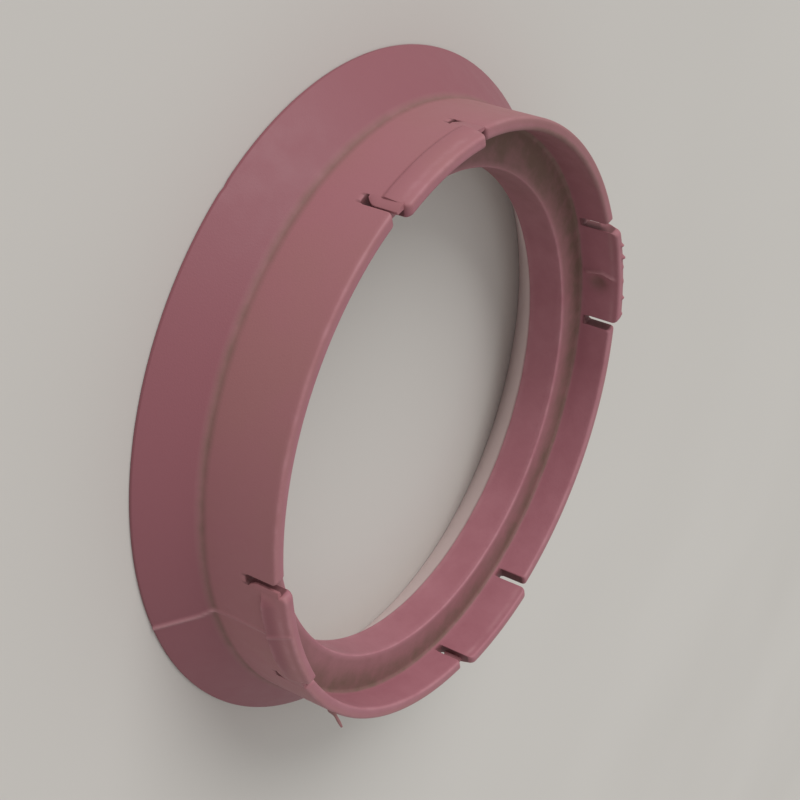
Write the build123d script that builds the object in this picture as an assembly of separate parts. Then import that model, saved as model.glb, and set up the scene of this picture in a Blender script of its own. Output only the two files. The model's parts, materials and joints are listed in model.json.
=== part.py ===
"""Hub centric ring: a moulded ring that fills the gap between a car's hub and a larger wheel bore.

The ring stands on the back of its flange, with its axis on +Z and the snap clips at the top.
All sizes are in millimetres.
"""

import os
from math import asin, degrees

from build123d import *

# Fits: the land slides over the hub, and the tube fills the wheel's centre bore
hub_bore_diameter = 60.1
body_wall = 6.5

# Conical flange that lies in the wheel's chamfer
flange_overhang = 4.5
flange_edge = 0.4
flange_height = 5.5

# Tapered lead-in at the back of the bore, then the land, then the shoulder
lead_in_flare = 5.5
lead_in_depth = 5.1
land_length = 5.0

# Thin skirt in front of the shoulder
skirt_wall = 1.5
skirt_height = 4.9

# Snap clips, cut free from the skirt by a slit on each side
clip_count = 4
clip_width = 14.3
clip_overhang = 1.0
slit_width = 1.3
slit_floor_height = 0.9

# Barb on each clip: a steep back and a long lead-in slope to the clip's end
barb_length = 3.3
barb_height = 1.0
barb_back_run = 0.4
clip_nose_setback = 0.2

# Rounds and fillets
edge_round = 0.35
flange_edge_round = 0.15
flange_root_fillet = 0.6
shoulder_fillet = 0.5
land_edge_round = 0.25
barb_round = 0.2
slit_corner_round = 0.35
clip_corner_round = 0.7
rim_corner_round = 0.4

# Radii and heights that follow from the sizes above
bore_radius = hub_bore_diameter / 2
tube_radius = bore_radius + body_wall
flange_radius = tube_radius + flange_overhang
lead_in_radius = bore_radius + lead_in_flare
skirt_radius = tube_radius - skirt_wall
shoulder_height = lead_in_depth + land_length
rim_height = shoulder_height + skirt_height
slit_floor = shoulder_height + slit_floor_height
clip_root = (shoulder_height + slit_floor) / 2
clip_end = rim_height + clip_overhang
barb_back = clip_end - barb_length
barb_radius = tube_radius + barb_height
clip_nose_radius = tube_radius - clip_nose_setback

# From a clip's middle to the middle of each slit: sideways, and as an angle in degrees
slit_offset = (clip_width + slit_width) / 2
slit_angle = degrees(asin(slit_offset / tube_radius))
clip_spacing = 360 / clip_count
first_clip_angle = clip_spacing / 2


def section(corners):
    """Face in the XZ plane through (radius, height, round) corners."""
    points = [(radius, height) for radius, height, _ in corners]
    rounds = [corner_round for _, _, corner_round in corners]
    return Plane.XZ * make_face(FilletPolyline(*points, radius=rounds, close=True))


def turned_ring():
    """Flange, tube, land, shoulder and skirt, turned round the axis before the slits are cut."""
    corners = [
        (lead_in_radius, 0, edge_round),
        (flange_radius, 0, flange_edge_round),
        (flange_radius, flange_edge, flange_edge_round),
        (tube_radius, flange_height, flange_root_fillet),
        (tube_radius, rim_height, edge_round),
        (skirt_radius, rim_height, edge_round),
        (skirt_radius, shoulder_height, shoulder_fillet),
        (bore_radius, shoulder_height, land_edge_round),
        (bore_radius, lead_in_depth, edge_round),
    ]
    return revolve(section(corners), Axis.Z)


def clip():
    """One clip with its barb, centred on +X, wide enough to end inside its two slits."""
    corners = [
        (skirt_radius, clip_root, 0),
        (tube_radius, clip_root, 0),
        (tube_radius, barb_back, barb_round),
        (barb_radius, barb_back + barb_back_run, barb_round),
        (clip_nose_radius, clip_end, edge_round),
        (skirt_radius, clip_end, edge_round),
    ]
    sector = revolve(section(corners), Axis.Z, revolution_arc=2 * slit_angle)
    return Rot(0, 0, -slit_angle) * sector


def slit_blade():
    """Cutter for the slit on the -Y side of a clip on +X, with walls parallel to the clip's middle.

    Its mouth leaves the rounded corners of the rim on one side and of the clip's end on the other.
    """
    clip_wall = slit_width / 2 - slit_offset
    rim_wall = -slit_width / 2 - slit_offset
    clip_side = clip_wall + clip_corner_round
    rim_side = rim_wall - rim_corner_round
    above = clip_end + clip_overhang
    rim_arc_foot = (rim_wall, rim_height - rim_corner_round)
    clip_arc_foot = (clip_wall, clip_end - clip_corner_round)
    closed_end = [rim_arc_foot, (rim_wall, slit_floor), (clip_wall, slit_floor), clip_arc_foot]
    outline = [
        FilletPolyline(*closed_end, radius=slit_corner_round),
        RadiusArc(clip_arc_foot, (clip_side, clip_end), clip_corner_round),
        Polyline((clip_side, clip_end), (clip_side, above), (rim_side, above), (rim_side, rim_height)),
        RadiusArc((rim_side, rim_height), rim_arc_foot, rim_corner_round),
    ]
    return extrude(Plane.YZ * make_face(outline), flange_radius)


def centring_ring():
    """The whole ring: clips added round the rim, then a slit cut on each side of every clip."""
    ring = turned_ring()
    blade = slit_blade()
    blades = [blade, mirror(blade, Plane.XZ)]
    for index in range(clip_count):
        turn = Rot(0, 0, first_clip_angle + index * clip_spacing)
        ring += turn * clip()
        for cutter in blades:
            ring -= turn * cutter
    return ring


os.makedirs("parts", exist_ok=True)
export_step(centring_ring(), "parts/centring_ring.step")
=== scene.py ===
# %% [markdown]
# # A worn hub centric ring
# The ring is one plastic moulding. A cone-shaped flange lies in the wheel's chamfer, a tube fills the
# wheel's bore, and four snap clips at the top hold the ring in. The solid model gives every main size.
# This lesson dresses it: a dense skin with soft edges, the marks of moulding and use, and a dusty pink
# plastic with dirt in its corners and with shade, highlights and a reflection painted into its colour.

import json
import math

import bmesh
import bpy
import numpy as np
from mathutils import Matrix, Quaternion, Vector


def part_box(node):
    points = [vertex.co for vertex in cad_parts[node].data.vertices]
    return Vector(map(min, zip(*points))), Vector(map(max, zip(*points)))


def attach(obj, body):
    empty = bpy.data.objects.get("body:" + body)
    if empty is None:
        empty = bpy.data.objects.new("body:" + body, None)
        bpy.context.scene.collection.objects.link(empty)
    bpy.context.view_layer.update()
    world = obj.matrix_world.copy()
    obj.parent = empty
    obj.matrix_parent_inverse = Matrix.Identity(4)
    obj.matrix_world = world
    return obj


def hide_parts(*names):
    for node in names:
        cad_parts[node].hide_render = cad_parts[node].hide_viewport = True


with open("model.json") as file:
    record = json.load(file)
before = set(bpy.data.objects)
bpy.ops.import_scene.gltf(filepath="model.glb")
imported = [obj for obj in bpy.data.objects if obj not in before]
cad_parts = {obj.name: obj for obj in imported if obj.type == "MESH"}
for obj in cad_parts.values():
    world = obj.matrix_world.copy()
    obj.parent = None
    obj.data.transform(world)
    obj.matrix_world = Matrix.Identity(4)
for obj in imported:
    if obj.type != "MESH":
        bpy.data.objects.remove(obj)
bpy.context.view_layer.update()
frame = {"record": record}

# %% [markdown]
# ## Sizes
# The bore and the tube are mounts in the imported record, and the flange and the height are the solid
# model's own box, so those four are read from the frame. The rest are small sizes of the moulding, in
# millimetres, which is the unit to think in for a part that fits in a hand. The skin is scaled to metres
# at the very end.

# %% Read and name the sizes
MM = 0.001
mounts = {mount["name"]: mount for mount in frame["record"]["mounts"]}
_, ring_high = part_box("centring_ring")
bore_radius = mounts["hub_bore"]["dims"]["r_mm"]
tube_radius = mounts["wheel_spigot"]["dims"]["r_mm"]
flange_radius = ring_high.x / MM
clip_end = ring_high.z / MM

skirt_radius = tube_radius - 1.5
lead_in_radius = bore_radius + 5.5
flange_edge = 0.4
flange_edge_round = 0.15
flange_height = 5.5
land_start = 5.1
shoulder_height = 10.1
slit_floor = 11.0
rim_height = clip_end - 1.0
barb_back = clip_end - 3.3
barb_height = 0.6
barb_back_run = 0.4
clip_nose_radius = tube_radius - 0.2
edge_round = 0.35
flange_root_fillet = 0.6
shoulder_fillet = 0.5
land_edge_round = 0.25
barb_round = 0.2
clip_half_width = 7.15
slit_width = 1.3
rim_wall = clip_half_width + slit_width
slit_corner_round = 0.35
clip_corner_round = 0.7
rim_corner_round = 0.4
slit_edge_round = 0.12
clip_angles = [45, 135, 225, 315]
print("radii: bore", bore_radius, "tube", tube_radius, "flange", round(flange_radius, 2))
print("height", round(clip_end, 2))

# %% [markdown]
# ## The section
# A turned part is best drawn as one section: straight runs joined by rounds. A helper walks round a list
# of corners, turns each into an arc, and divides the runs so that the skin has points close enough
# together to carry small dents. The section is drawn in two strips, because the slits cut the top one.


# %% Draw rounded strips
def corner_arc(before, corner, after, radius, steps=5):
    """Points of the arc that rounds one corner of a strip."""
    before, corner, after = np.array(before), np.array(corner), np.array(after)
    to_before = (before - corner) / np.linalg.norm(before - corner)
    to_after = (after - corner) / np.linalg.norm(after - corner)
    half = math.acos(np.clip(to_before @ to_after, -1, 1)) / 2
    reach = radius / math.tan(half)
    bisector = to_before + to_after
    centre = corner + bisector / np.linalg.norm(bisector) * radius / math.sin(half)
    start, end = corner + to_before * reach - centre, corner + to_after * reach - centre
    sweep = math.atan2(start[0] * end[1] - start[1] * end[0], start @ end)
    arc = []
    for turn in np.linspace(0, sweep, steps + 1):
        c, s = math.cos(turn), math.sin(turn)
        arc.append(centre + np.array([c * start[0] - s * start[1], s * start[0] + c * start[1]]))
    return arc


def strip(corners, spacing):
    """Points along a strip of (radius, height, round) corners, no further apart than the spacing."""
    knots = [np.array(corners[0][:2], float)]
    for before, corner, after in zip(corners, corners[1:], corners[2:]):
        if corner[2]:
            knots += corner_arc(before[:2], corner[:2], after[:2], corner[2])
        else:
            knots.append(np.array(corner[:2], float))
    knots.append(np.array(corners[-1][:2], float))
    points = [knots[0]]
    for start, end in zip(knots, knots[1:]):
        pieces = max(1, math.ceil(np.linalg.norm(end - start) / spacing))
        points += [start + (end - start) * step / pieces for step in range(1, pieces + 1)]
    return np.array(points)


wall_foot = slit_floor + slit_corner_round
lower_strip = strip([
    (skirt_radius, wall_foot, 0),
    (skirt_radius, wall_foot - slit_edge_round, 0),
    (skirt_radius, shoulder_height, shoulder_fillet),
    (bore_radius, shoulder_height, land_edge_round),
    (bore_radius, land_start, edge_round),
    (lead_in_radius, 0, edge_round),
    (flange_radius, 0, flange_edge_round),
    (flange_radius, flange_edge, flange_edge_round),
    (tube_radius, flange_height, flange_root_fillet),
    (tube_radius, wall_foot - slit_edge_round, 0),
    (tube_radius, wall_foot, 0),
], spacing=0.66)
rim_strip = strip([
    (tube_radius, wall_foot, 0),
    (tube_radius, rim_height, edge_round),
    (skirt_radius, rim_height, edge_round),
    (skirt_radius, wall_foot, 0),
], spacing=0.36)
clip_strip = strip([
    (tube_radius, wall_foot, 0),
    (tube_radius, barb_back, barb_round),
    (tube_radius + barb_height, barb_back + barb_back_run, barb_round),
    (clip_nose_radius, clip_end, edge_round),
    (skirt_radius, clip_end, edge_round),
    (skirt_radius, wall_foot, 0),
], spacing=0.22)
print("points: lower", len(lower_strip), "rim", len(rim_strip), "clip", len(clip_strip))

# %% [markdown]
# ## Columns round the ring
# The section is swept round the axis in columns. A column is named by its clip and by how far it lies to
# the side of that clip's middle, because the slits are cut parallel to the clip and not towards the axis.
# Columns crowd together where something small happens: at the slit walls, along the moulding seam, and
# on the clip whose end is torn.


# %% Place the columns
def run(start, end, spacing):
    """Evenly spaced places from start up to, not including, end."""
    count = max(1, round((end - start) / spacing))
    return [start + (end - start) * step / count for step in range(count)]


quarter_angle = 45
quarter_side = tube_radius * math.sin(math.radians(quarter_angle))
clip_spacing, fine_spacing = 0.3, {45: 0.16, 225: 0.14}
clip_corner_spacing, rim_corner_spacing, rim_corner_run = 0.1, 0.12, 1.0
rim_spacing_degrees = 1.1
edge_turns = np.linspace(0, math.pi / 2, 4)[:-1]
floor_turns = np.linspace(0, math.pi / 2, 6)[1:]


def half_columns(spacing):
    """Places from a clip's middle to the end of its quarter, with the kind of each stretch."""
    corner_start, inner_edge = clip_half_width - clip_corner_round, clip_half_width - slit_edge_round
    places = [(side, "clip") for side in run(0, corner_start, spacing)]
    places += [(side, "clip") for side in run(corner_start, inner_edge, clip_corner_spacing)]
    wall_round = [slit_edge_round * (1 - math.sin(turn)) for turn in edge_turns]
    places += [(clip_half_width - side, "clip") for side in wall_round]
    places += [(clip_half_width, "clip wall")]
    floor_round = [slit_corner_round * (1 - math.cos(turn)) for turn in floor_turns]
    places += [(clip_half_width + side, "slit") for side in floor_round]
    places += [(rim_wall - side, "slit") for side in reversed(floor_round)]
    places += [(rim_wall, "rim wall")]
    places += [(rim_wall + side, "rim") for side in reversed(wall_round)]
    corner_end = rim_wall + rim_corner_run
    places += [(side, "rim") for side in run(rim_wall + 0.2, corner_end, rim_corner_spacing)]
    turns = run(math.degrees(math.asin(corner_end / tube_radius)), quarter_angle, rim_spacing_degrees)
    places += [(tube_radius * math.sin(math.radians(turn)), "rim") for turn in turns]
    return places


columns = []
for clip_angle in clip_angles:
    half = half_columns(fine_spacing.get(clip_angle, clip_spacing))
    columns += [(clip_angle, -side, kind) for side, kind in reversed(half[1:])]
    columns += [(clip_angle, side, kind) for side, kind in half]
    columns.append((clip_angle, quarter_side, "rim"))
print("columns:", len(columns))

# %% [markdown]
# ## Marks of moulding and use
# A used moulding is recognised by its marks. A raised seam runs over the flange, the tube and one clip
# where the two halves of the mould met. The next clip has burrs on its end and a lip of plastic gouged
# up on its inside. There is a nick in the flange's rim. One barb is worn down at its corner, and another
# is worn almost flat. Each mark is a small move of the skin, so it shows in the mesh and not only in the
# paint.

# %% Describe the marks
seam_clip, worn_clip, torn_clip, flat_clip = 225, 225, 45, 135
seam_height, seam_width = 0.27, 0.17
seam_levels = [flange_edge, 4.2, flange_height, 8.5, barb_back, clip_end]
seam_sides = [0.4, -0.21, -0.85, -1.08, -1.0, -1.9]
nick_angle, nick_width, nick_depth, nick_reach = 156.3, 0.4, 0.25, 0.6
burrs = [
    (4.65, 0.34, 0.15),
    (2.68, 0.42, 0.18),
    (1.1, 0.12, 0.2),
    (-1.2, 0.1, 0.25),
    (-3.74, 0.26, 0.15),
    (-6.2, 0.16, 0.14),
]
worn_bevel = 1.5
flat_barb_share = 0.36
gouge_levels, gouge_sides = [shoulder_height, 13.4, 15.4], [-0.5, 0.1, -0.5]
gouge_fade = (14.9, 15.6)
gouge_lip, gouge_lip_width = 0.36, 0.18
hollow_side, hollow_level = -1.7, 12.8
hollow_depth, hollow_half_width, hollow_half_height = 0.32, 0.75, 0.9


def hump(distance, width):
    """Smooth bump of height 1 that fades over the width."""
    return math.exp(-0.5 * (distance / width) ** 2)


def smooth_step(value, low, high):
    """0 below low, 1 above high, and an easy slope between."""
    share = min(1, max(0, (value - low) / (high - low)))
    return share * share * (3 - 2 * share)


def marked_outside(clip_angle, side, radius, height):
    """Radius of a point on the outside of the ring, with the seam and the worn barbs."""
    on_barb = radius > tube_radius and height > barb_back - 0.5
    if clip_angle == worn_clip and on_barb:
        keep = smooth_step(clip_half_width + side, 0, worn_bevel) * 0.5
        keep += 0.5 * min(1, (clip_half_width + side) / worn_bevel)
        keep *= 1 - 0.6 * smooth_step(side, 2.5, clip_half_width)
        radius = tube_radius + (radius - tube_radius) * keep
    if clip_angle == flat_clip and on_barb:
        radius = tube_radius + (radius - tube_radius) * flat_barb_share
    if clip_angle == seam_clip:
        middle = np.interp(height, seam_levels, seam_sides)
        fade = 1 - 0.5 * smooth_step(height, flange_height, flange_height + 1.5)
        radius += seam_height * fade * hump(side - middle, seam_width)
    return radius


def marked_inside(clip_angle, side, radius, height):
    """Radius of a point on the inside of a clip, with the gouge and the lip it raised."""
    if clip_angle == torn_clip and height > slit_floor - 1:
        ridge = np.interp(height, gouge_levels, gouge_sides)
        begun = smooth_step(height, shoulder_height + 0.4, shoulder_height + 1.2)
        ended = smooth_step(height, *gouge_fade)
        radius -= gouge_lip * hump(side - ridge, gouge_lip_width) * begun * (1 - ended)
        hollow = hump(side - hollow_side, hollow_half_width)
        radius += hollow_depth * hollow * hump(height - hollow_level, hollow_half_height)
    return radius


def torn_end(clip_angle, side, height):
    """Height of a point at the end of a clip, with its burrs."""
    if clip_angle == torn_clip:
        height += sum(tall * hump(side - place, wide) for place, tall, wide in burrs)
    return height


print("marks: seam, nick,", len(burrs), "burrs, gouge, worn barbs")

# %% [markdown]
# ## The skin
# Every column carries the lower strip, which runs from the slit floor inside, down the bore, round the
# back and up the outside. Above it a column carries the rim, a clip or the floor of a slit. A wall column
# carries both, and the space between them is the slit's wall. Points near a wall draw in a little, which
# rounds the slit's edges so that they catch the light.


# %% Work out points of the skin
def lean(clip_angle, side, radius):
    """Angle of a column at a radius: parallel to its clip near the slits, towards the axis elsewhere."""
    plain = math.asin(side / tube_radius)
    near = 1 - smooth_step(abs(math.degrees(plain)), 16, 26)
    reach = min(max(radius, skirt_radius), tube_radius + barb_height)
    return math.radians(clip_angle) + plain + near * (math.asin(side / reach) - plain)


def drawn_in(side):
    """How far points draw in beside a slit's wall."""
    gap = min(abs(abs(side) - clip_half_width), abs(abs(side) - rim_wall))
    in_slit = clip_half_width < abs(side) < rim_wall
    if in_slit or gap == 0:
        return slit_edge_round
    if gap >= slit_edge_round:
        return 0
    return slit_edge_round - math.sqrt(slit_edge_round ** 2 - (slit_edge_round - gap) ** 2)


def corner_drop(side, wall, corner_round):
    """How far the end of a clip or of the rim drops at its rounded corner."""
    gap = abs(abs(side) - wall)
    if gap >= corner_round:
        return 0
    return corner_round - math.sqrt(corner_round ** 2 - (corner_round - gap) ** 2)


def cut_height(side):
    """Height of a column's slit floor, which curves up to meet the walls."""
    if not clip_half_width < abs(side) < rim_wall:
        return wall_foot
    gap = min(abs(side) - clip_half_width, rim_wall - abs(side), slit_corner_round)
    return wall_foot - math.sqrt(slit_corner_round ** 2 - (slit_corner_round - gap) ** 2)


def strip_normals(points):
    """Unit directions into the plastic at each point of an upper strip."""
    along = np.gradient(points, axis=0)
    along /= np.linalg.norm(along, axis=1)[:, None]
    return np.stack([-along[:, 1], along[:, 0]], axis=1)


def lower_points(clip_angle, side):
    """Points of the lower strip in one column."""
    cut = cut_height(side)
    points = lower_strip.copy()
    first_inside, tube_foot = shoulder_height + shoulder_fillet, flange_height + 1
    for index, (radius, height) in enumerate(lower_strip):
        outside = radius > tube_radius - 0.01 and height > flange_edge
        if radius > skirt_radius - 0.01 and height > first_inside and not outside:
            stretch = (cut - first_inside) / (wall_foot - first_inside)
            points[index, 0] = marked_inside(clip_angle, side, radius, height)
            points[index, 1] = first_inside + (height - first_inside) * stretch
        if outside and height > tube_foot:
            stretch = (cut - tube_foot) / (wall_foot - tube_foot)
            points[index, 1] = tube_foot + (height - tube_foot) * stretch
        if outside:
            points[index, 0] = marked_outside(clip_angle, side, radius, height)
        if radius > flange_radius - nick_reach:
            turn = math.radians(clip_angle - nick_angle) + math.asin(side / tube_radius)
            near_edge = smooth_step(radius, flange_radius - nick_reach, flange_radius)
            points[index, 0] -= nick_depth * hump(flange_radius * turn, nick_width / 2) * near_edge
    points[0, 0] += drawn_in(side)
    points[-1, 0] -= drawn_in(side)
    return points


rim_inward = strip_normals(rim_strip)
clip_inward = strip_normals(clip_strip)


def upper_points(clip_angle, side, kind):
    """Points of the rim or clip strip in one column, without its two ends, which the lower strip holds."""
    on_clip = kind.startswith("clip")
    points = (clip_strip if on_clip else rim_strip).copy()
    inward = clip_inward if on_clip else rim_inward
    top = clip_end if on_clip else rim_height
    wall, corner_round = (clip_half_width, clip_corner_round) if on_clip else (rim_wall, rim_corner_round)
    drop = corner_drop(side, wall, corner_round)
    points += inward * drawn_in(side)
    for index, (radius, height) in enumerate(points):
        near_end = smooth_step(height, clip_end - 0.55, clip_end - 0.2)
        height -= drop * smooth_step(height, top - 2, top)
        if on_clip:
            outside = index < len(points) // 2
            mark = marked_outside if outside else marked_inside
            radius = mark(clip_angle, side, radius, height)
            outer_lip = 1 - smooth_step(tube_radius - radius, 0.35, 0.9)
            height += (torn_end(clip_angle, side, height) - height) * near_end * outer_lip
        points[index] = radius, height
    return points[1:-1]


print("wall foot at", round(wall_foot, 2), "mm")


# %% [markdown]
# Dirt gathers where a finger can't wipe: in the corner between flange and tube and on the shoulder. One
# side of the inside and of the rim's end, the gouge's hollow and the torn sliver are darkened with painted
# shade. Edges that rub stay cleaner and paler, and that paling also serves as a painted highlight. The
# slits and the flange get painted shade, the seam and the gouge's lip a painted highlight, and the lead-in
# a pale painted reflection. These and the other places that look different are kept on the skin's points
# as numbers from 0 to 1, and the plastic's material reads them.

# %% Say where dirt, rubbing, painted shade, painted highlights and a painted reflection are
junction = np.array([tube_radius, flange_height])
# Painted shade on one side of the inside and on the rim's end on that side
shade_inside, shade_on_rim = 0.4, 0.35
shaded_angle, shaded_spread = 90, 24
# Rubbed edges, paler as wear and as a painted highlight
rubbed_and_highlit_edges = [
    np.array([bore_radius, shoulder_height]),
    np.array([tube_radius, rim_height]),
    np.array([skirt_radius, rim_height]),
    np.array([tube_radius + barb_height, barb_back + barb_back_run]),
    np.array([clip_nose_radius, clip_end]),
    np.array([bore_radius, land_start]),
]


def grime(clip_angle, side, radius, height):
    """How much dirt and painted shade a point of the skin holds."""
    place = np.array([radius, height])
    dirt_and_shade_share = 0.65 * hump(np.linalg.norm(place - junction), 0.36)
    turn = clip_angle + math.degrees(math.asin(side / tube_radius))
    # The side that gets painted shade, on the rim's end here and on the inside below
    shaded_side = hump(turn - shaded_angle, shaded_spread)
    dirt_and_shade_share += shade_on_rim * shaded_side * smooth_step(height, rim_height - 0.6, rim_height - 0.1)
    inside = radius < skirt_radius + 0.4
    if inside:
        on_shoulder = 1 - smooth_step(height, shoulder_height + 0.15, shoulder_height + 0.5)
        on_shoulder *= 0.45 + 0.55 * smooth_step(radius, bore_radius + 1, skirt_radius - 1)
        on_shoulder *= smooth_step(radius, bore_radius + 0.1, bore_radius + 0.5)
        dirt_and_shade_share += 0.85 * on_shoulder * smooth_step(height, shoulder_height - 0.3, shoulder_height - 0.1)
        # Painted shade over the inside on that side
        dirt_and_shade_share += shade_inside * shaded_side * (height > land_start)
        # Painted shade in the gouge's hollow
        if clip_angle == torn_clip:
            dirt_and_shade_share += 0.8 * hump(side - hollow_side, 0.8) * hump(height - hollow_level, 0.9)
    return min(1, dirt_and_shade_share)


def in_slit(clip_angle, side, radius, height):
    """1 on the walls and floors of the slits, which are painted dark as shade, and 0 elsewhere."""
    cut = clip_half_width <= abs(side) <= rim_wall and height > slit_floor - 0.1
    return 0.8 * cut * (1 - smooth_step(radius, tube_radius - 0.05, tube_radius + 0.1))


def rubbed(clip_angle, side, radius, height):
    """How much a point of the skin is rubbed clean, a paling that is partly wear and partly a painted
    highlight.
    """
    place = np.array([radius, height])
    return min(1, sum(hump(np.linalg.norm(place - edge), 0.22) for edge in rubbed_and_highlit_edges))


def scarred(clip_angle, side, radius, height):
    """1 along the seam and the gouge's lip, where raised plastic is paler as a painted highlight."""
    if clip_angle == torn_clip and radius < skirt_radius + 0.2 and height > shoulder_height + 0.6:
        ended = smooth_step(height, *gouge_fade)
        return (1 - ended) * hump(side - np.interp(height, gouge_levels, gouge_sides), 0.2)
    if clip_angle == seam_clip and radius > tube_radius - 0.2:
        faint = 1 - 0.6 * smooth_step(height, flange_height, flange_height + 1)
        return faint * hump(side - np.interp(height, seam_levels, seam_sides), seam_width * 1.1)
    return 0


def handled(clip_angle, side, radius, height):
    """1 on the outside of the tube and clips, which fingers turn tan, and 0 on the flange and inside."""
    outside = smooth_step(radius, skirt_radius + 0.5, skirt_radius + 1.1)
    return outside * smooth_step(height, flange_height - 0.6, flange_height + 0.3)


def on_flange(clip_angle, side, radius, height):
    """1 on the flange's cone, which is a deeper pink as painted shade, a little less on the barbs, and 0
    elsewhere.
    """
    below = 1 - 0.1 * smooth_step(height, flange_height, barb_back - 1)
    return smooth_step(radius, tube_radius + 0.05, tube_radius + 0.4) * below


def chalky(clip_angle, side, radius, height):
    """1 on the lead-in taper, which is painted pale as a reflection of bright paper."""
    return (1 - smooth_step(height, land_start - 0.25, land_start + 0.05)) * (radius < lead_in_radius)


skin_numbers = {
    "grime": grime,
    "rubbed": rubbed,
    "scarred": scarred,
    "in_slit": in_slit,
    "handled": handled,
    "on_flange": on_flange,
    "chalky": chalky,
}


# %% [markdown]
# With the points known, the skin is woven column by column. Each pair of columns is joined by the lower
# strip and by whatever stands above it, and each slit wall is closed by one face. A weighted normal
# modifier keeps flat walls flat and the rounds soft.

# %% Weave the skin
floor_steps = 4


def stretch_kind(first, second):
    """What stands above the lower strip between two columns."""
    outer = max(abs(first), abs(second))
    inner = min(abs(first), abs(second))
    if outer <= clip_half_width:
        return "clip"
    return "slit" if inner >= clip_half_width and outer <= rim_wall else "rim"


def weave_ring():
    """The whole skin as points, faces and the numbers on each point."""
    points, faces, built = [], [], []
    numbers = {name: [] for name in skin_numbers}

    def add(clip_angle, side, radius, height):
        turn = lean(clip_angle, side, radius)
        points.append((radius * math.cos(turn), radius * math.sin(turn), height))
        for name, number in skin_numbers.items():
            numbers[name].append(number(clip_angle, side, radius, height))
        return len(points) - 1

    for clip_angle, side, kind in columns:
        lower = [add(clip_angle, side, *point) for point in lower_points(clip_angle, side)]
        upper, floor = None, None
        if kind != "slit":
            upper = [add(clip_angle, side, *point) for point in upper_points(clip_angle, side, kind)]
        if kind == "slit" or kind.endswith("wall"):
            outer, inner = tube_radius - slit_edge_round, skirt_radius + slit_edge_round
            cut = cut_height(side)
            floor = [add(clip_angle, side, outer + (inner - outer) * step / floor_steps, cut)
                     for step in range(1, floor_steps)]
        built.append((side, lower, upper, floor))
    for here, following in zip(built, built[1:] + built[:1]):
        side, lower, upper, floor = here
        next_side, next_lower, next_upper, next_floor = following
        above = stretch_kind(side, next_side)
        top = floor if above == "slit" else upper
        next_top = next_floor if above == "slit" else next_upper
        ring = lower + top + lower[:1]
        next_ring = next_lower + next_top + next_lower[:1]
        for corners in zip(ring, next_ring, next_ring[1:], ring[1:]):
            faces.append(corners)
    for side, lower, upper, floor in built:
        if upper and floor:
            faces.append([lower[-1]] + upper + [lower[0]] + floor[::-1])
    return points, faces, numbers


def mesh_piece(name, points, faces):
    """A smooth mesh object in metres from points in millimetres."""
    mesh = bpy.data.meshes.new(name)
    mesh.from_pydata([tuple(MM * value for value in point) for point in points], [], faces)
    shell = bmesh.new()
    shell.from_mesh(mesh)
    bmesh.ops.recalc_face_normals(shell, faces=shell.faces)
    open_edges = sum(not edge.is_manifold for edge in shell.edges)
    shell.to_mesh(mesh)
    shell.free()
    mesh.shade_smooth()
    mesh.set_sharp_from_angle(angle=sharp_angle)
    piece = bpy.data.objects.new(name, mesh)
    bpy.context.scene.collection.objects.link(piece)
    print(name, len(mesh.polygons), "faces,", open_edges, "open edges")
    return piece


sharp_angle = math.radians(50)
ring_points, ring_faces, ring_numbers = weave_ring()
ring = mesh_piece("ring_skin", ring_points, ring_faces)
for name, values in ring_numbers.items():
    ring.data.attributes.new(name, "FLOAT", "POINT").data.foreach_set("value", values)
weighted = ring.modifiers.new("flat walls", "WEIGHTED_NORMAL")
weighted.keep_sharp = True
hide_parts("centring_ring")
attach(ring, "root")

# %% [markdown]
# ## A torn sliver and films of flash
# Some plastic stands clear of the skin. A sliver hangs from the rim's outer edge, and thin films of flash,
# left by the mould, partly close five slits. Each is a small closed mesh with its root buried in the
# ring, drawn as rings of points along its length.


# %% Make the loose plastic
def tapered(name, rings):
    """Closed mesh through rings of points, with a face on each end."""
    points = [point for ring_of_points in rings for point in ring_of_points]
    around = len(rings[0])
    faces = []
    for level in range(len(rings) - 1):
        for index in range(around):
            following = (index + 1) % around
            faces.append((level * around + index, level * around + following,
                          (level + 1) * around + following, (level + 1) * around + index))
    faces.append(list(range(around)))
    faces.append(list(range((len(rings) - 1) * around, len(rings) * around)))
    piece = mesh_piece(name, points, faces)
    for number in skin_numbers:
        piece.data.attributes.new(number, "FLOAT", "POINT")
    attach(piece, "root")
    return piece


def polar(radius, degrees, height):
    """A point from its radius, angle and height."""
    turn = math.radians(degrees)
    return Vector((radius * math.cos(turn), radius * math.sin(turn), height))


sliver_root = polar(tube_radius - 0.3, -109.2, rim_height - 0.35)
sliver_tip = sliver_root + Vector((2.2, -2.2, 1.0))
sliver_width, sliver_thickness = 0.42, 0.16
sliver_bow = Vector((0.25, 0.1, -0.3))
sliver_along = (sliver_tip - sliver_root).normalized()
sliver_across = sliver_along.cross(Vector((0.9, -0.1, -0.42))).normalized()
sliver_through = sliver_along.cross(sliver_across)
sliver_levels, sliver_sides = 12, 8
sliver_rings = []
for level in range(sliver_levels):
    share = level / (sliver_levels - 1)
    middle = sliver_root.lerp(sliver_tip, share) + sliver_bow * math.sin(math.pi * share)
    taper = (1 - 0.75 * share) * (1 + 0.25 * math.sin(9 * share))
    across, through = sliver_across * sliver_width * taper, sliver_through * sliver_thickness * taper
    turns = [2 * math.pi * index / sliver_sides for index in range(sliver_sides)]
    sliver_rings.append([middle + across * math.cos(turn) + through * math.sin(turn) for turn in turns])
sliver = tapered("rim_sliver", sliver_rings)
# Painted shade: the sliver is darkened as if it hung in shadow
sliver.data.attributes["grime"].data.foreach_set("value", [0.6] * len(sliver.data.vertices))

film_thickness, film_levels = 0.35, 14
film_root, film_edge = 0.25, 0.06
film_start = slit_floor + 0.45


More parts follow.
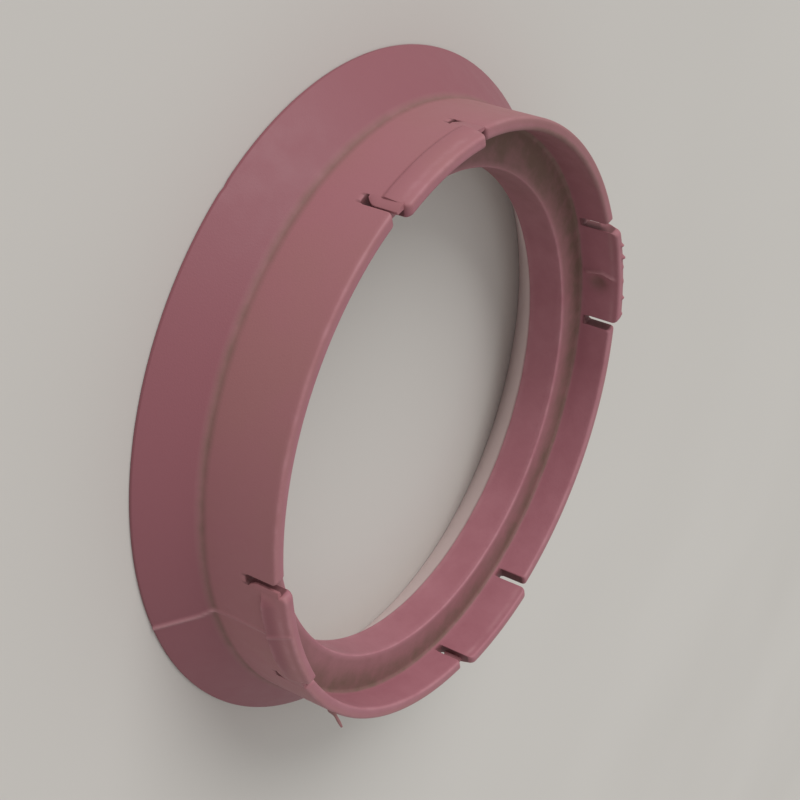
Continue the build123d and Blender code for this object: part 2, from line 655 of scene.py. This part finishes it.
def slit_film(name, clip_angle, way, reach, film_end):
    """Flash that reaches from a clip's wall across its slit, way being the clip's + or - side."""
    rings = []
    for level in range(film_levels):
        share = level / (film_levels - 1)
        height = film_start + share * (film_end - film_start)
        grown = reach * math.sin(math.pi * min(0.5, 0.1 + 1.3 * share))
        inner_side, outer_side = clip_half_width - film_root, clip_half_width + grown
        outline = [
            (tube_radius, inner_side),
            (tube_radius, outer_side - film_edge),
            (tube_radius - film_edge, outer_side),
            (tube_radius - film_thickness, outer_side - film_edge),
            (tube_radius - film_thickness - film_root, inner_side),
        ]
        turns = [math.degrees(lean(clip_angle, way * side, radius)) for radius, side in outline]
        rings.append([polar(radius, turn, height) for (radius, side), turn in zip(outline, turns)])
    film = tapered(name, rings)
    film.data.attributes["handled"].data.foreach_set("value", [1.0] * len(film.data.vertices))
    return film


films = [
    slit_film("slit_flash_left", 135, 1, 1.12, rim_height + 0.35),
    slit_film("slit_flash_right", 135, -1, 1.42, rim_height - 0.25),
    slit_film("slit_flash_low", 225, 1, 1.42, rim_height - 0.25),
    slit_film("slit_flash_upper", 225, -1, 0.62, rim_height + 0.2),
    slit_film("slit_flash_far", 315, -1, 0.8, rim_height - 0.9),
]

# %% [markdown]
# ## Dusty pink plastic
# The moulding is an even, unpainted plastic with a satin face. Noises keep it from being one flat colour:
# broad ones drift towards tan outside, as handling does, and towards a faded pink inside, and a finer one
# breaks the sheen. The dirt number mixes in an olive brown, broken up by a noise; it is dirt at the
# flange's root and on the shoulder, and painted shade on one side of the inside and rim, in the gouge's
# hollow and on the sliver. Rubbed edges go a little paler, partly as wear and partly as a painted
# highlight. The flange is a deeper pink and the slits a dark red as painted shade, the seam and the
# gouge's lip are paler as a painted highlight, and the lead-in is pale as a painted reflection. A shallow
# bump gives the faint texture of the mould.


# %% Mix the plastic
def link(tree, source, target):
    tree.links.new(source, target)


def noise(tree, place, scale, detail, roughness=0.55):
    """A noise texture in the object's own space."""
    node = tree.nodes.new("ShaderNodeTexNoise")
    node.inputs["Scale"].default_value = scale
    node.inputs["Detail"].default_value = detail
    node.inputs["Roughness"].default_value = roughness
    link(tree, place, node.inputs["Vector"])
    return node.outputs["Fac"]


def ranged(tree, value, low, high, to_low=0.0, to_high=1.0):
    """Stretches a value from one range to another, and keeps it inside."""
    node = tree.nodes.new("ShaderNodeMapRange")
    for socket, number in zip(("From Min", "From Max", "To Min", "To Max"), (low, high, to_low, to_high)):
        node.inputs[socket].default_value = number
    link(tree, value, node.inputs["Value"])
    return node.outputs["Result"]


def maths(tree, operation, first, second):
    """One sum or product of two values, either of which may be a number."""
    node = tree.nodes.new("ShaderNodeMath")
    node.operation = operation
    for socket, value in zip(node.inputs, (first, second)):
        if isinstance(value, (int, float)):
            socket.default_value = value
        else:
            link(tree, value, socket)
    return node.outputs["Value"]


def mixed(tree, share, first, second):
    """A mix of two colours, each a colour or another node's output."""
    node = tree.nodes.new("ShaderNodeMix")
    node.data_type = "RGBA"
    link(tree, share, node.inputs["Factor"])
    for socket, colour in zip((node.inputs[6], node.inputs[7]), (first, second)):
        if isinstance(colour, tuple):
            socket.default_value = (*colour, 1)
        else:
            link(tree, colour, socket)
    return node.outputs[2]


def number_on_skin(tree, name):
    """A number kept on the skin's points."""
    node = tree.nodes.new("ShaderNodeAttribute")
    node.attribute_name = name
    return node.outputs["Fac"]


# Colours of the plastic, clean, worn and dirty, and of its painted shade, highlights and reflection
pink = (0.310, 0.117, 0.142)
faded_pink = (0.355, 0.145, 0.173)
# Deeper pink is painted shade on the flange
flange_shade_pink = (0.245, 0.086, 0.104)
handled_tan = (0.322, 0.127, 0.147)
worn_tan = (0.312, 0.132, 0.139)
# Olive brown for dirt and for painted shade
dirt_and_shade_brown = (0.158, 0.092, 0.074)
# Dark red painted shade in the slits
slit_shade_red = (0.110, 0.040, 0.042)
# Paler pink is a painted highlight on the seam and the gouge's lip
ridge_highlight_pink = (0.41, 0.20, 0.22)
# Paler pink for rubbed edges, partly wear and partly a painted highlight
rubbed_highlit_pink = (0.41, 0.195, 0.22)
# Pale painted reflection of the paper on the lead-in
lead_in_reflection_pink = (0.76, 0.63, 0.62)


def ring_plastic():
    """The dusty pink plastic with its dirt and rubbed edges, and with painted shade, highlights and a
    reflection.
    """
    material = bpy.data.materials.new("dusty_pink_plastic")
    material.use_nodes = True
    tree = material.node_tree
    shader = tree.nodes["Principled BSDF"]
    place = tree.nodes.new("ShaderNodeTexCoord").outputs["Object"]
    broad = ranged(tree, noise(tree, place, scale=70, detail=3), 0.38, 0.66)
    blotches = ranged(tree, noise(tree, place, scale=420, detail=4), 0.3, 0.7)
    grain = noise(tree, place, scale=5200, detail=2)
    patches = ranged(tree, blotches, 0, 1, 0.7, 1.15)
    # Dirt, together with painted shade on one side, in the gouge's hollow and on the sliver
    dirt_and_shade_share = maths(tree, "MULTIPLY", number_on_skin(tree, "grime"), patches)
    dirt_and_shade_share = ranged(tree, dirt_and_shade_share, 0.05, 0.95)
    tan = mixed(tree, broad, handled_tan, worn_tan)
    streaks = ranged(tree, noise(tree, place, scale=130, detail=5, roughness=0.7), 0.35, 0.7)
    streaked = mixed(tree, streaks, pink, faded_pink)
    clean = mixed(tree, number_on_skin(tree, "handled"), streaked, tan)
    # The flange gets painted shade
    clean = mixed(tree, number_on_skin(tree, "on_flange"), clean, flange_shade_pink)
    # The lead-in gets a pale painted reflection
    clean = mixed(tree, number_on_skin(tree, "chalky"), clean, lead_in_reflection_pink)
    # Rubbed edges go paler, partly wear and partly a painted highlight
    rub_and_highlight = ranged(tree, blotches, 0.2, 0.9, 0.1, 0.75)
    rub_and_highlight = maths(tree, "MULTIPLY", number_on_skin(tree, "rubbed"), rub_and_highlight)
    clean = mixed(tree, rub_and_highlight, clean, rubbed_highlit_pink)
    # Olive brown mixed in as dirt and as painted shade
    dirtied_and_shaded = mixed(tree, dirt_and_shade_share, clean, dirt_and_shade_brown)
    # Painted shade darkens the slits' walls and floors
    dirtied_and_shaded = mixed(tree, number_on_skin(tree, "in_slit"), dirtied_and_shaded, slit_shade_red)
    # Painted highlight along the seam and the gouge's lip
    link(tree, mixed(tree, number_on_skin(tree, "scarred"), dirtied_and_shaded, ridge_highlight_pink), shader.inputs["Base Color"])
    shader.inputs["Specular IOR Level"].default_value = 0.32
    satin = ranged(tree, blotches, 0, 1, 0.5, 0.58)
    roughness = maths(tree, "ADD", satin, maths(tree, "MULTIPLY", dirt_and_shade_share, 0.25))
    link(tree, roughness, shader.inputs["Roughness"])
    bump = tree.nodes.new("ShaderNodeBump")
    bump.inputs["Strength"].default_value = 0.25
    bump.inputs["Distance"].default_value = 0.00006
    link(tree, maths(tree, "ADD", grain, maths(tree, "MULTIPLY", blotches, 0.3)), bump.inputs["Height"])
    link(tree, bump.outputs["Normal"], shader.inputs["Normal"])
    return material


plastic = ring_plastic()
for piece in [ring, sliver] + films:
    piece.data.materials.append(plastic)
print("material:", plastic.name, len(plastic.node_tree.nodes), "nodes")

# %% [markdown]
# ## Floor and light
# The ring lies on pale paper. One broad light shines from low on the side that is the top of the
# picture, so the outside is bright there and the inside is bright opposite. It is a far light, which
# lights the paper evenly however far one looks. A pale world fills the shadows.

# %% Lay the paper and set the light
floor_mesh = bpy.data.meshes.new("paper_floor")
floor_size = 30.0
floor_signs = [(-1, -1), (1, -1), (1, 1), (-1, 1)]
floor_corners = [(floor_size * x, floor_size * y, 0) for x, y in floor_signs]
floor_mesh.from_pydata(floor_corners, [], [(0, 1, 2, 3)])
floor = bpy.data.objects.new("paper_floor", floor_mesh)
bpy.context.scene.collection.objects.link(floor)
paper = bpy.data.materials.new("pale_paper")
paper.use_nodes = True
paper_tree = paper.node_tree
paper_shader = paper_tree.nodes["Principled BSDF"]
paper_shader.inputs["Roughness"].default_value = 0.9
paper_shader.inputs["Specular IOR Level"].default_value = 0.2
paper_place = paper_tree.nodes.new("ShaderNodeTexCoord").outputs["Object"]
paper_dim, paper_pale = (0.56, 0.541, 0.511), (0.585, 0.566, 0.536)
paper_cloud = ranged(paper_tree, noise(paper_tree, paper_place, scale=9, detail=2), 0.3, 0.7)
paper_colour = mixed(paper_tree, paper_cloud, paper_dim, paper_pale)
link(paper_tree, paper_colour, paper_shader.inputs["Base Color"])
floor_mesh.materials.append(paper)


def direction(azimuth, elevation):
    """Unit vector from an angle round the axis and one above the floor, in degrees."""
    turn, rise = math.radians(azimuth), math.radians(elevation)
    return Vector((math.cos(turn) * math.cos(rise), math.sin(turn) * math.cos(rise), math.sin(rise)))


key_azimuth, key_elevation = 118, 29
key_data = bpy.data.lights.new("key_light", "SUN")
key_data.energy = 1.95
key_data.angle = math.radians(38)
key_light = bpy.data.objects.new("key_light", key_data)
key_light.rotation_mode = "QUATERNION"
key_light.rotation_quaternion = direction(key_azimuth, key_elevation).to_track_quat("Z", "Y")
bpy.context.scene.collection.objects.link(key_light)
world = bpy.data.worlds.new("pale_room")
bpy.context.scene.world = world
world.use_nodes = True
background = world.node_tree.nodes["Background"]
background.inputs["Color"].default_value = (1.0, 0.99, 0.975, 1)
background.inputs["Strength"].default_value = 0.6
print("lights:", [light.name for light in bpy.data.lights], "and the world")

# %% [markdown]
# ## Camera
# The picture was taken close up, from about thirty degrees above the paper, with the camera held almost
# on its side: the ring's axis points right and a little down. The lens and place come from the ring's own
# edges. A small shift stands for a picture that was cut from a larger one.

# %% Set the camera
camera_place = Vector((-143.413, 8.477, 86.295)) * MM
camera_aim = Vector((61.439, -27.590, 0)) * MM
camera_right = Vector((0.41509, 0.31959, 0.8518))
camera_data = bpy.data.cameras.new("camera")
camera_data.sensor_width = 36
camera_data.lens = 60.13
camera_data.shift_x, camera_data.shift_y = -0.13125, 0.25
camera_data.clip_start = 0.005
camera = bpy.data.objects.new("camera", camera_data)
camera.location = camera_place
camera.rotation_mode = "QUATERNION"
facing = (camera_aim - camera_place).to_track_quat("-Z", "Y")
level_right = facing @ Vector((1, 0, 0))
level_up = facing @ Vector((0, 1, 0))
camera_roll = math.atan2(camera_right.dot(level_up), camera_right.dot(level_right))
camera.rotation_quaternion = facing @ Quaternion((0, 0, 1), camera_roll)
bpy.context.scene.collection.objects.link(camera)
bpy.context.scene.camera = camera
bpy.context.scene.view_settings.view_transform = "Standard"
print("camera distance, mm:", round(camera_place.length / MM, 1))
print("camera roll, degrees:", round(math.degrees(camera_roll), 2))
